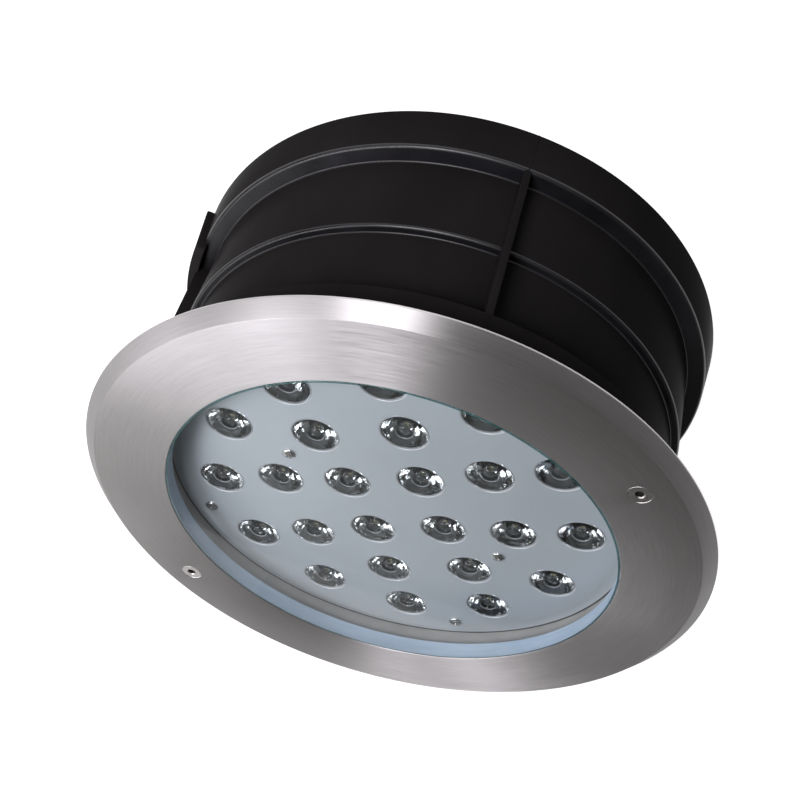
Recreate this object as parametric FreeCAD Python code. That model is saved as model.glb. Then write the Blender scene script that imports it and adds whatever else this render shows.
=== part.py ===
import FreeCAD, Part
import math
import os

# In ground well light: a sealed LED lamp unit that drops into a moulded sleeve buried in the ground.
# Millimetres. +Z is up and is the axis of the light, which faces up.
# The origin is on the axis, at the bottom rim of the sleeve.
# Heights named "depth" are measured down from the front face of the trim ring.

V = FreeCAD.Vector
UP = V(0, 0, 1)
CENTRE = V(0, 0, 0)

# ---- overall
overall_height = 155.0
ring_outer_radius = 165.0

# ---- trim ring, brushed stainless steel
ring_face_width = 45.5
ring_bevel_width = 6.7
ring_bevel_drop = 6.0
ring_rim_depth = 7.0
ring_rim_width = 8.5
ring_plate_thickness = 5.0
ring_lip_thickness = 2.0

# ---- two countersunk screws that hold the lamp unit down in the sleeve
ring_screw_inset = 23.6
ring_screw_angles = (60.0, 240.0)
ring_screw_shank_radius = 3.0
ring_screw_head_radius = 5.9
ring_screw_head_height = 3.0
ring_screw_length = 19.0
ring_screw_key_width = 4.0
ring_screw_key_depth = 2.4
screw_running_gap = 0.05
screw_hole_gap = 0.3

# ---- stepped front glass and its seal
glass_edge_gap = 0.3
glass_thickness = 9.7
glass_step_width = 9.3
glass_seal_thickness = 2.0
glass_seal_wall = 1.0
seat_gap = 0.3

# ---- cast housing
housing_flange_inset = 12.0
housing_flange_thickness = 5.0
housing_cavity_margin = 5.5
housing_wall_thickness = 4.5
housing_collar_step = 2.3
housing_collar_height = 6.0
housing_floor_thickness = 5.0
fin_count = 24
fin_thickness = 2.6
fin_height = 42.0
fin_tip_inset = 16.0
wire_hole_radius = 6.0

# ---- driver chamber under the housing floor
chamber_outer_radius = 60.0
chamber_wall = 5.0
chamber_height = 57.0
chamber_flange_width = 8.0
chamber_flange_height = 8.0

# ---- clamp screws from below, through the housing flange into the ring
clamp_screw_count = 6
clamp_screw_start_angle = 30.0
clamp_screw_shank_radius = 2.5
clamp_screw_head_radius = 4.7
clamp_screw_head_height = 2.5
clamp_screw_length = 8.0

# ---- LED plate
plate_depth = 20.9
plate_thickness = 1.5
plate_edge_gap = 0.5
plate_edge_bevel = 0.6

# ---- three rings of lenses, each ring's radius a share of the plate's
outer_lens_count = 12
outer_lens_share = 0.784
middle_lens_count = 8
middle_lens_share = 0.5076
inner_lens_count = 4
inner_lens_share = 0.233
lens_radius = 11.3
lens_hole_gap = 0.15
lens_rim_height = 1.6
lens_rim_width = 0.9
lens_height = 12.0
lens_base_radius = 5.0
lens_belly_share = 0.6
lens_recess = 0.3
lens_well_radius = 5.4
lens_well_depth = 2.6
lens_dome_radius = 4.4
lens_dome_rise = 2.2
lens_cavity_radius = 3.4
lens_cavity_depth = 3.8
lens_roof_rise = 1.5

# ---- emitters, board and pad
emitter_side = 3.5
emitter_height = 1.6
emitter_dome_radius = 1.4
board_margin = 17.5
board_thickness = 2.0
pad_thickness = 0.5
board_screw_angles = (45.0, 135.0, 225.0, 315.0)

# ---- small screws, all with round heads
plate_screw_inner_angles = (0.0, 180.0)
plate_screw_outer_margin = 11.5
plate_screw_outer_angles = (45.0, 135.0, 225.0, 315.0)
small_screw_shank_radius = 1.5
small_screw_head_radius = 2.9
small_screw_head_height = 1.4
small_screw_length = 8.0
screw_head_top_share = 0.75
standoff_radius = 3.4

# ---- driver in the chamber
driver_wall_gap = 4.8
driver_corner_angle = 35.3
driver_height = 32.0
driver_corner_radius = 4.0
driver_foot_width = 12.0
driver_foot_height = 7.0

# ---- back cover and its seal
cover_thickness = 4.0
cover_edge_round = 1.3
cover_seal_thickness = 1.2
cover_screw_count = 6
cover_screw_inset = 5.5
cover_screw_shank_radius = 2.0
cover_screw_head_radius = 3.6
cover_screw_head_height = 2.2
cover_screw_length = 10.0

# ---- cable gland
gland_thread_radius = 10.0
gland_across_flats = 24.0
gland_hex_height = 6.0
gland_washer_thickness = 1.5
gland_washer_width = 2.9
gland_bore_radius = 5.0
gland_collet_wall = 1.8
gland_collet_height = 10.0
gland_nut_height = 17.0
gland_nut_gap = 0.8
gland_nut_wall_gap = 0.1
gland_mouth_radius = 5.2
gland_mouth_wall = 2.5
gland_seal_bore_radius = 3.75
gland_seal_height = 9.0
gland_locknut_height = 4.0

# ---- moulded sleeve: insets are from the ring's edge, widths from one wall out to the next
sleeve_wall = 3.0
sleeve_flange_inset = 13.0
sleeve_flange_thickness = 3.0
sleeve_seal_thickness = 1.5
skirt_inset = 17.2
skirt_bottom_depth = 33.0
lamp_clearance = 1.2
step_width = 4.6
step_depth = 81.2
ledge_width = 9.6
band_height = 25.4
band_taper = 2.9
sleeve_edge_round = 1.4
rib_count = 4
rib_start_angle = 11.0
rib_thickness = 3.6
boss_wall = 1.4
boss_depth = 23.0
insert_radius = 4.2
insert_length = 9.0

# ---- pad on the sleeve's bottom band, with a knock-out for a side cable entry
pad_angle = 11.0
pad_width = 42.0
pad_height = 31.0
pad_proud = 4.3
pad_round = 3.0
knockout_radius = 11.0
knockout_height = 14.0
knockout_groove_width = 1.6
knockout_groove_depth = 2.0

# ---- radii worked out from the sizes above
ring_bore_radius = ring_outer_radius - ring_face_width
ring_screw_circle_radius = ring_outer_radius - ring_screw_inset
glass_front_radius = ring_bore_radius - glass_edge_gap
glass_flange_radius = glass_front_radius + glass_step_width
seal_outer_radius = glass_flange_radius + glass_seal_wall
seat_radius = seal_outer_radius + seat_gap
housing_flange_radius = ring_outer_radius - housing_flange_inset
housing_cavity_radius = ring_bore_radius + housing_cavity_margin
housing_wall_radius = housing_cavity_radius + housing_wall_thickness
housing_collar_radius = housing_wall_radius + housing_collar_step
chamber_inner_radius = chamber_outer_radius - chamber_wall
chamber_flange_radius = chamber_outer_radius + chamber_flange_width
cover_screw_circle_radius = chamber_flange_radius - cover_screw_inset
plate_radius = housing_cavity_radius - plate_edge_gap
outer_lens_circle_radius = plate_radius * outer_lens_share
middle_lens_circle_radius = plate_radius * middle_lens_share
inner_lens_circle_radius = plate_radius * inner_lens_share
board_radius = plate_radius - board_margin
board_screw_circle_radius = (outer_lens_circle_radius + middle_lens_circle_radius) / 2
plate_screw_outer_radius = plate_radius - plate_screw_outer_margin
driver_corner_reach = chamber_inner_radius - driver_wall_gap
driver_length = 2 * driver_corner_reach * math.cos(math.radians(driver_corner_angle))
driver_width = 2 * driver_corner_reach * math.sin(math.radians(driver_corner_angle))
gland_corner_radius = gland_across_flats / math.sqrt(3)
gland_clear_radius = gland_thread_radius + gland_nut_wall_gap
gland_collet_radius = gland_thread_radius - gland_collet_wall
sleeve_flange_radius = ring_outer_radius - sleeve_flange_inset
skirt_radius = ring_outer_radius - skirt_inset
sleeve_inner_radius = housing_collar_radius + lamp_clearance
upper_wall_radius = sleeve_inner_radius + sleeve_wall
lower_wall_radius = upper_wall_radius + step_width
band_top_radius = lower_wall_radius + ledge_width
band_bottom_radius = band_top_radius + band_taper
boss_radius = insert_radius + boss_wall

# ---- heights worked out from the sizes above
face_z = overall_height
ring_under_z = face_z - ring_plate_thickness
lip_under_z = face_z - ring_lip_thickness
glass_under_z = face_z - glass_thickness
seat_z = glass_under_z - glass_seal_thickness
flange_under_z = ring_under_z - housing_flange_thickness
plate_top_z = face_z - plate_depth
plate_under_z = plate_top_z - plate_thickness
lens_top_z = plate_top_z - lens_recess
lens_base_z = lens_top_z - lens_height
board_top_z = lens_base_z - emitter_height
board_under_z = board_top_z - board_thickness
floor_top_z = board_under_z - pad_thickness
floor_under_z = floor_top_z - housing_floor_thickness
blind_hole_end_z = floor_top_z - housing_floor_thickness / 2
chamber_end_z = floor_under_z - chamber_height
cover_top_z = chamber_end_z - cover_seal_thickness
cover_under_z = cover_top_z - cover_thickness
hex_top_z = cover_under_z - gland_washer_thickness
hex_under_z = hex_top_z - gland_hex_height
nut_top_z = hex_under_z - gland_nut_gap
nut_under_z = nut_top_z - gland_nut_height
collet_end_z = hex_under_z - gland_collet_height
sleeve_top_z = flange_under_z - sleeve_seal_thickness
sleeve_flange_under_z = sleeve_top_z - sleeve_flange_thickness
skirt_bottom_z = face_z - skirt_bottom_depth
step_z = face_z - step_depth
boss_bottom_z = face_z - boss_depth


def polar(radius, angle, z=0.0):
    """Point at a radius and an angle in degrees about the axis."""
    turn = math.radians(angle)
    return V(radius * math.cos(turn), radius * math.sin(turn), z)


def revolved(outline):
    """Solid turned about the axis from a closed outline of (radius, height) points."""
    points = [V(radius, 0, z) for radius, z in outline]
    face = Part.Face(Part.makePolygon(points + points[:1]))
    return face.revolve(CENTRE, UP, 360)


def cylinder(radius, bottom, top):
    """Upright cylinder about the axis, between two heights."""
    return Part.makeCylinder(radius, top - bottom, V(0, 0, bottom))


def tube(outer, inner, bottom, top):
    """Upright tube about the axis."""
    return revolved([(inner, bottom), (outer, bottom), (outer, top), (inner, top)])


def hexagon_prism(across_flats, bottom, top):
    """Upright hexagonal bar about the axis."""
    corner = across_flats / math.sqrt(3)
    points = [polar(corner, 60 * side, bottom) for side in range(7)]
    return Part.Face(Part.makePolygon(points)).extrude(V(0, 0, top - bottom))


def placed(shape, radius, angle, z=0.0):
    """Copy of a shape moved out to a radius and angle."""
    copy = shape.copy()
    copy.translate(polar(radius, angle, z))
    return copy


def turned(shape, angle):
    """Copy of a shape turned about the axis."""
    copy = shape.copy()
    copy.rotate(CENTRE, UP, angle)
    return copy


def rounded(shape, radius, spots):
    """Round the circular edges whose radius and height are listed."""
    picked = []
    for edge in shape.Edges:
        if edge.Curve.TypeId != "Part::GeomCircle":
            continue
        for spot_radius, spot_z in spots:
            same_radius = abs(edge.Curve.Radius - spot_radius) < 0.01
            same_height = abs(edge.Curve.Center.z - spot_z) < 0.01
            if same_radius and same_height:
                picked.append(edge)
    return shape.makeFillet(radius, picked)


def evenly(count, start=0.0):
    """Angles in degrees that share a full turn equally."""
    return [start + 360.0 * step / count for step in range(count)]


def outer_lens_spots():
    return [(outer_lens_circle_radius, angle) for angle in evenly(outer_lens_count)]


def middle_lens_spots():
    """The middle ring is turned by half a step, so its lenses fall between those of the outer ring."""
    half_step = 180.0 / middle_lens_count
    return [(middle_lens_circle_radius, angle) for angle in evenly(middle_lens_count, half_step)]


def inner_lens_spots():
    return [(inner_lens_circle_radius, angle) for angle in evenly(inner_lens_count)]


def all_lens_spots():
    return outer_lens_spots() + middle_lens_spots() + inner_lens_spots()


def clamp_angles():
    return evenly(clamp_screw_count, clamp_screw_start_angle)


def cover_angles():
    return evenly(cover_screw_count)


def plate_screw_spots():
    """Two screws on the middle lens ring and four near the plate's edge."""
    inner = [(middle_lens_circle_radius, angle) for angle in plate_screw_inner_angles]
    outer = [(plate_screw_outer_radius, angle) for angle in plate_screw_outer_angles]
    return inner + outer


def board_screw_spots():
    return [(board_screw_circle_radius, angle) for angle in board_screw_angles]


# ---- trim ring and glass

def steel_ring():
    """Flat ring with a bevelled edge, a thin lip over the glass and a stepped underside."""
    rim_inner = ring_outer_radius - ring_rim_width
    bevel_radius = ring_outer_radius - ring_bevel_width
    bevel_z = face_z - ring_bevel_drop
    rim_z = face_z - ring_rim_depth
    ring = revolved([
        (ring_bore_radius, lip_under_z), (seat_radius, lip_under_z), (seat_radius, ring_under_z),
        (rim_inner, ring_under_z), (rim_inner, rim_z), (ring_outer_radius, rim_z),
        (ring_outer_radius, bevel_z), (bevel_radius, face_z), (ring_bore_radius, face_z)])
    for angle in ring_screw_angles:
        ring = ring.cut(placed(ring_screw_cutter(), ring_screw_circle_radius, angle))
    for angle in clamp_angles():
        hole = clamp_screw_shape(screw_hole_gap)
        ring = ring.cut(placed(hole, ring_screw_circle_radius, angle))
    return ring


def ring_screw_cutter():
    """Countersunk hole for a ring screw, through everything it passes."""
    gap = screw_running_gap
    head_end = face_z - ring_screw_head_height
    cone = revolved([
        (0, head_end), (ring_screw_shank_radius + gap, head_end),
        (ring_screw_head_radius + gap, face_z), (0, face_z)])
    shank = cylinder(ring_screw_shank_radius + gap, face_z - 2 * ring_screw_length, face_z)
    return cone.fuse(shank)


def ring_screw():
    """Countersunk screw with a hexagonal key recess."""
    head_end = face_z - ring_screw_head_height
    end_z = face_z - ring_screw_length
    screw = revolved([
        (0, end_z), (ring_screw_shank_radius, end_z), (ring_screw_shank_radius, head_end - screw_running_gap),
        (ring_screw_head_radius, face_z - screw_running_gap), (0, face_z - screw_running_gap)])
    key_top = face_z
    return screw.cut(hexagon_prism(ring_screw_key_width, key_top - ring_screw_key_depth, key_top))


def glass_disc():
    """Thick toughened glass: a disc flush with the ring, stepped out below the lip."""
    return revolved([
        (0, glass_under_z), (glass_flange_radius, glass_under_z), (glass_flange_radius, lip_under_z),
        (glass_front_radius, lip_under_z), (glass_front_radius, face_z), (0, face_z)])


def glass_gasket():
    """Silicone seal, L-shaped in section, under and around the glass flange."""
    inner = housing_cavity_radius
    return revolved([
        (inner, seat_z), (seal_outer_radius, seat_z), (seal_outer_radius, lip_under_z),
        (glass_flange_radius, lip_under_z), (glass_flange_radius, glass_under_z), (inner, glass_under_z)])


# ---- cast housing

def lamp_housing():
    """Cast cup with a top flange, radial cooling fins and a driver chamber below its floor."""
    collar_z = flange_under_z - housing_collar_height
    taper_z = collar_z - (housing_collar_radius - housing_wall_radius)
    flange_inner_z = chamber_end_z + chamber_flange_height
    cup = revolved([
        (0, floor_under_z), (housing_wall_radius, floor_under_z), (housing_wall_radius, taper_z),
        (housing_collar_radius, collar_z), (housing_collar_radius, flange_under_z),
        (housing_flange_radius, flange_under_z), (housing_flange_radius, ring_under_z),
        (seat_radius, ring_under_z), (seat_radius, seat_z), (housing_cavity_radius, seat_z),
        (housing_cavity_radius, floor_top_z), (0, floor_top_z)])
    chamber = revolved([
        (chamber_inner_radius, chamber_end_z), (chamber_flange_radius, chamber_end_z),
        (chamber_flange_radius, flange_inner_z), (chamber_outer_radius, flange_inner_z),
        (chamber_outer_radius, floor_under_z), (chamber_inner_radius, floor_under_z)])
    fins = [turned(cooling_fin(), angle) for angle in evenly(fin_count)]
    housing = cup.fuse([chamber] + fins)
    cutters = [cylinder(wire_hole_radius, floor_under_z, floor_top_z)]
    for angle in ring_screw_angles:
        cutters.append(placed(ring_screw_cutter(), ring_screw_circle_radius, angle))
    for angle in clamp_angles():
        cutters.append(placed(clamp_screw_shape(screw_hole_gap), ring_screw_circle_radius, angle))
    for angle in cover_angles():
        hole = cylinder(cover_screw_shank_radius, chamber_end_z, chamber_end_z + cover_screw_length)
        cutters.append(placed(hole, cover_screw_circle_radius, angle))
    for radius, angle in board_screw_spots():
        cutters.append(placed(cylinder(small_screw_shank_radius, blind_hole_end_z, floor_top_z), radius, angle))
    return housing.cut(cutters).removeSplitter()


def cooling_fin():
    """One radial fin below the floor, drawn in at its lower outer corner."""
    inner = (chamber_inner_radius + chamber_outer_radius) / 2
    bottom = floor_under_z - fin_height
    shoulder_z = floor_under_z - fin_height / 3
    outline = [
        V(inner, -fin_thickness / 2, floor_under_z), V(inner, -fin_thickness / 2, bottom),
        V(housing_wall_radius - fin_tip_inset, -fin_thickness / 2, bottom),
        V(housing_wall_radius - fin_thickness, -fin_thickness / 2, shoulder_z),
        V(housing_wall_radius - fin_thickness, -fin_thickness / 2, floor_under_z)]
    return Part.Face(Part.makePolygon(outline + outline[:1])).extrude(V(0, fin_thickness, 0))


def clamp_screw_shape(gap=0.0):
    """Flat-headed screw, head down, from the flange underside into the ring."""
    head_top = flange_under_z + clamp_screw_head_height
    top = flange_under_z + clamp_screw_length + gap
    return revolved([
        (0, flange_under_z), (clamp_screw_head_radius + gap, flange_under_z),
        (clamp_screw_shank_radius + gap, head_top), (clamp_screw_shank_radius + gap, top), (0, top)])


def clamp_screws():
    return Part.makeCompound([placed(clamp_screw_shape(), ring_screw_circle_radius, angle)
                              for angle in clamp_angles()])


# ---- LED plate, lenses, board

def led_plate():
    """Cover plate with a bevelled edge and a round hole for each lens and screw."""
    plate = revolved([
        (0, plate_under_z), (plate_radius, plate_under_z), (plate_radius, plate_top_z - plate_edge_bevel),
        (plate_radius - plate_edge_bevel, plate_top_z), (0, plate_top_z)])
    lens_hole = cylinder(lens_radius + lens_hole_gap, plate_under_z, plate_top_z)
    screw_hole = cylinder(small_screw_shank_radius, plate_under_z, plate_top_z)
    holes = [placed(lens_hole, radius, angle) for radius, angle in all_lens_spots()]
    holes += [placed(screw_hole, radius, angle) for radius, angle in plate_screw_spots()]
    return plate.cut(holes)


def lens():
    """Moulded collimator: a foot on the board, a curved side wall, a rim, and a dome in a well on top."""
    rim_under_z = lens_top_z - lens_rim_height
    wall_radius = lens_radius - lens_rim_width
    well_floor_z = lens_top_z - lens_well_depth
    cavity_side_z = lens_base_z + lens_cavity_depth
    belly_radius = lens_base_radius + (wall_radius - lens_base_radius) * lens_belly_share
    belly_z = (lens_base_z + rim_under_z) / 2
    foot = polyline([
        (lens_cavity_radius, cavity_side_z), (lens_cavity_radius, board_top_z),
        (lens_base_radius, board_top_z), (lens_base_radius, lens_base_z)])
    side = Part.Arc(V(lens_base_radius, 0, lens_base_z), V(belly_radius, 0, belly_z),
                    V(wall_radius, 0, rim_under_z)).toShape()
    rim = polyline([
        (wall_radius, rim_under_z), (lens_radius, rim_under_z), (lens_radius, lens_top_z),
        (lens_well_radius, lens_top_z), (lens_dome_radius, well_floor_z)])
    dome = crown(lens_dome_radius, well_floor_z, lens_dome_rise)
    middle = polyline([(0, well_floor_z + lens_dome_rise), (0, cavity_side_z + lens_roof_rise)])
    roof = crown(lens_cavity_radius, cavity_side_z, lens_roof_rise)
    outline = Part.Wire(Part.__sortEdges__(foot + [side] + rim + [dome] + middle + [roof]))
    return Part.Face(outline).revolve(CENTRE, UP, 360)


def polyline(points):
    """Straight edges through (radius, height) points."""
    corners = [V(radius, 0, z) for radius, z in points]
    return [Part.makeLine(start, end) for start, end in zip(corners, corners[1:])]


def crown(radius, foot_z, rise):
    """Arc from a rim up to the axis, of a dome that rises this far."""
    sphere_radius = (radius * radius + rise * rise) / (2 * rise)
    centre_z = foot_z + rise - sphere_radius
    half_turn = math.asin(min(1.0, radius / sphere_radius)) / 2
    middle = V(sphere_radius * math.sin(half_turn), 0, centre_z + sphere_radius * math.cos(half_turn))
    return Part.Arc(V(radius, 0, foot_z), middle, V(0, 0, foot_z + rise)).toShape()


def lens_group(spots):
    return Part.makeCompound([placed(lens(), radius, angle) for radius, angle in spots])


def led_emitters():
    """Square chips on the board, each with a clear dome."""
    half = emitter_side / 2
    chip = Part.makeBox(emitter_side, emitter_side, emitter_height, V(-half, -half, board_top_z))
    dome = Part.makeSphere(emitter_dome_radius, V(0, 0, board_top_z + emitter_height), UP, 0, 90)
    emitter = chip.fuse(dome)
    return Part.makeCompound([placed(emitter, radius, angle) for radius, angle in all_lens_spots()])


def led_board():
    """Metal-cored board with a wire hole, standoff holes and screw holes."""
    board = cylinder(board_radius, board_under_z, board_top_z)
    return board.cut(board_holes(board_under_z, board_top_z))


def thermal_pad():
    """Soft pad between the board and the housing floor, with the same holes."""
    pad = cylinder(board_radius, floor_top_z, board_under_z)
    return pad.cut(board_holes(floor_top_z, board_under_z))


def board_holes(bottom, top):
    holes = [cylinder(wire_hole_radius, bottom, top)]
    for angle in plate_screw_inner_angles:
        hole = cylinder(standoff_radius + seat_gap, bottom, top)
        holes.append(placed(hole, middle_lens_circle_radius, angle))
    for radius, angle in board_screw_spots():
        holes.append(placed(cylinder(small_screw_shank_radius, bottom, top), radius, angle))
    return holes


def small_screw(under_head_z, end_z):
    """Round-headed screw that stands head up."""
    head_top = under_head_z + small_screw_head_height
    shank = small_screw_shank_radius
    return revolved([
        (0, end_z), (shank, end_z), (shank, under_head_z), (small_screw_head_radius, under_head_z),
        (small_screw_head_radius * screw_head_top_share, head_top), (0, head_top)])


def plate_screws():
    screw = small_screw(plate_top_z, plate_top_z - small_screw_length)
    return Part.makeCompound([placed(screw, radius, angle) for radius, angle in plate_screw_spots()])


def board_screws():
    """Short screws that end at the bottom of the housing's blind holes."""
    screw = small_screw(board_top_z, blind_hole_end_z)
    return Part.makeCompound([placed(screw, radius, angle) for radius, angle in board_screw_spots()])


def plate_standoffs():
    """Round pillars between the housing floor and the plate, drilled for the plate screws."""
    pillar = cylinder(standoff_radius, floor_top_z, plate_under_z)
    drilled = pillar.cut(cylinder(small_screw_shank_radius, plate_top_z - small_screw_length, plate_under_z))
    return Part.makeCompound([placed(drilled, radius, angle) for radius, angle in plate_screw_spots()])


# ---- driver, back cover and gland

def driver_box():
    """Potted driver, hung under the housing floor on two feet."""
    top = floor_under_z - driver_foot_height
    body = Part.makeBox(driver_length, driver_width, driver_height,
                        V(-driver_length / 2, -driver_width / 2, top - driver_height))
    upright = [edge for edge in body.Edges if abs(edge.tangentAt(edge.FirstParameter).z) > 0.9]
    body = body.makeFillet(driver_corner_radius, upright)
    feet = []
    for side in (-1, 1):
        left = side * (driver_length - driver_foot_width) / 2 - driver_foot_width / 2
        feet.append(Part.makeBox(driver_foot_width, driver_width / 2, driver_foot_height,
                                 V(left, -driver_width / 4, top)))
    return body.fuse(feet).removeSplitter()


def back_cover():
    """Round plate that closes the driver chamber, with the gland hole in its centre."""
    cover = cylinder(chamber_flange_radius, cover_under_z, cover_top_z)
    cover = rounded(cover, cover_edge_round, [(chamber_flange_radius, cover_under_z)])
    holes = [cylinder(gland_clear_radius, cover_under_z, cover_top_z)]
    for angle in cover_angles():
        hole = cylinder(cover_screw_shank_radius, cover_under_z, cover_top_z)
        holes.append(placed(hole, cover_screw_circle_radius, angle))
    return cover.cut(holes)


def back_cover_gasket():
    ring = tube(chamber_flange_radius, chamber_inner_radius, cover_top_z, chamber_end_z)
    holes = [placed(cylinder(cover_screw_shank_radius, cover_top_z, chamber_end_z),
                    cover_screw_circle_radius, angle) for angle in cover_angles()]
    return ring.cut(holes)


def back_cover_screws():
    """Round-headed screws, heads down."""
    head_end = cover_under_z - cover_screw_head_height
    top = cover_under_z + cover_screw_length
    shank = cover_screw_shank_radius
    screw = revolved([
        (0, head_end), (cover_screw_head_radius * screw_head_top_share, head_end),
        (cover_screw_head_radius, cover_under_z), (shank, cover_under_z), (shank, top), (0, top)])
    return Part.makeCompound([placed(screw, cover_screw_circle_radius, angle) for angle in cover_angles()])


def gland_body():
    """Gland body: thread through the cover, hexagon below it and a collet socket at the end."""
    thread_top = cover_top_z + gland_locknut_height + gland_nut_gap
    thread = cylinder(gland_thread_radius, hex_top_z, thread_top)
    hexagon = hexagon_prism(gland_across_flats, hex_under_z, hex_top_z)
    collet = cylinder(gland_thread_radius, collet_end_z, hex_under_z)
    socket = cylinder(gland_collet_radius, collet_end_z, hex_under_z + gland_nut_gap)
    bore = cylinder(gland_bore_radius, collet_end_z, thread_top)
    return thread.fuse([hexagon, collet]).cut([socket, bore]).removeSplitter()


def gland_washer():
    outer = gland_clear_radius + gland_washer_width
    return tube(outer, gland_clear_radius, hex_top_z, cover_under_z)


def gland_locknut():
    top = cover_top_z + gland_locknut_height
    nut = hexagon_prism(gland_across_flats, cover_top_z, top)
    return nut.cut(cylinder(gland_clear_radius, cover_top_z, top))


def gland_seal():
    """Rubber sleeve that grips the cable inside the collet socket."""
    top = hex_under_z + gland_nut_gap
    return tube(gland_collet_radius, gland_seal_bore_radius, top - gland_seal_height, top)


def gland_nut():
    """Domed cap nut over the collet, with a mouth for the cable."""
    bar = hexagon_prism(gland_across_flats, nut_under_z, nut_top_z)
    dome = revolved([
        (0, nut_under_z), (gland_mouth_radius + gland_mouth_wall, nut_under_z),
        (gland_corner_radius, nut_under_z + gland_nut_height / 2),
        (gland_corner_radius, nut_top_z), (0, nut_top_z)])
    socket = cylinder(gland_clear_radius, collet_end_z - gland_nut_gap, nut_top_z)
    mouth = cylinder(gland_mouth_radius, nut_under_z, nut_top_z)
    return bar.common(dome).cut([socket, mouth])


# ---- moulded sleeve

def mounting_sleeve():
    """Open-ended pot of even wall: flange, skirt, two steps outwards and a deep bottom band."""
    wall = sleeve_wall
    pot = revolved([
        (band_bottom_radius - wall, 0), (band_bottom_radius, 0), (band_top_radius, band_height),
        (lower_wall_radius, band_height), (lower_wall_radius, step_z), (upper_wall_radius, step_z),
        (upper_wall_radius, sleeve_flange_under_z), (skirt_radius - wall, sleeve_flange_under_z),
        (skirt_radius - wall, skirt_bottom_z), (skirt_radius, skirt_bottom_z),
        (skirt_radius, sleeve_flange_under_z), (sleeve_flange_radius, sleeve_flange_under_z),
        (sleeve_flange_radius, sleeve_top_z), (sleeve_inner_radius, sleeve_top_z),
        (sleeve_inner_radius, step_z - wall), (lower_wall_radius - wall, step_z - wall),
        (lower_wall_radius - wall, band_height - wall), (band_top_radius - wall, band_height - wall)])
    pot = rounded(pot, sleeve_edge_round, [(band_top_radius, band_height), (lower_wall_radius, step_z)])
    ribs = [turned(sleeve_rib(), angle) for angle in evenly(rib_count, rib_start_angle)]
    boss = cylinder(boss_radius, boss_bottom_z, sleeve_top_z - sleeve_flange_thickness / 2)
    bosses = [placed(boss, ring_screw_circle_radius, angle) for angle in ring_screw_angles]
    pot = pot.fuse(ribs + bosses + [turned(cable_pad(), pad_angle)])
    insert_hole = cylinder(insert_radius, sleeve_top_z - insert_length, sleeve_top_z)
    cutters = [placed(insert_hole, ring_screw_circle_radius, angle) for angle in ring_screw_angles]
    cutters.append(turned(knockout_groove(), pad_angle))
    cutters.append(cylinder(sleeve_inner_radius, step_z, sleeve_top_z))
    return pot.cut(cutters).removeSplitter()


def sleeve_rib():
    """Upright web from the bottom band to the skirt, flush with both."""
    half_wall = sleeve_wall / 2
    root = upper_wall_radius - half_wall
    low_root = lower_wall_radius - half_wall
    inside_skirt = skirt_radius - half_wall
    outline = [
        (low_root, band_height - half_wall), (band_top_radius - sleeve_wall, band_height - half_wall),
        (band_top_radius, band_height), (skirt_radius, skirt_bottom_z), (inside_skirt, skirt_bottom_z),
        (inside_skirt, sleeve_flange_under_z), (root, sleeve_flange_under_z),
        (root, step_z - half_wall), (low_root, step_z - half_wall)]
    points = [V(radius, -rib_thickness / 2, z) for radius, z in outline]
    return Part.Face(Part.makePolygon(points + points[:1])).extrude(V(0, rib_thickness, 0))


def cable_pad():
    """Raised pad on the bottom band, where a cable can enter from the side."""
    root = band_top_radius - sleeve_wall / 2
    proud = revolved([
        (root, 0), (band_bottom_radius + pad_proud, 0), (band_top_radius + pad_proud, pad_height),
        (root, pad_height)])
    block = Part.makeBox(pad_width, pad_width, pad_height, V(lower_wall_radius, -pad_width / 2, 0))
    along = [edge for edge in block.Edges
             if abs(edge.tangentAt(edge.FirstParameter).x) > 0.9 and edge.CenterOfMass.z > pad_height / 2]
    return block.makeFillet(pad_round, along).common(proud)


def knockout_groove():
    """Ring-shaped groove in the pad that marks the knock-out for a side cable entry."""
    floor = band_bottom_radius + pad_proud / 2 - knockout_groove_depth
    start = V(floor, 0, knockout_height)
    outer = Part.makeCylinder(knockout_radius, pad_width, start, V(1, 0, 0))
    inner = Part.makeCylinder(knockout_radius - knockout_groove_width, pad_width, start, V(1, 0, 0))
    return outer.cut(inner)


def sleeve_inserts():
    """Brass thread inserts for the ring screws."""
    bore = ring_screw_shank_radius + screw_running_gap
    insert = tube(insert_radius, bore, sleeve_top_z - insert_length, sleeve_top_z)
    return Part.makeCompound([placed(insert, ring_screw_circle_radius, angle)
                              for angle in ring_screw_angles])


def sleeve_seal():
    """Flat rubber ring on the sleeve, under the housing flange."""
    ring = tube(sleeve_flange_radius, sleeve_inner_radius, sleeve_top_z, flange_under_z)
    hole = cylinder(ring_screw_shank_radius + screw_hole_gap, sleeve_top_z, flange_under_z)
    return ring.cut([placed(hole, ring_screw_circle_radius, angle) for angle in ring_screw_angles])


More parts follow.
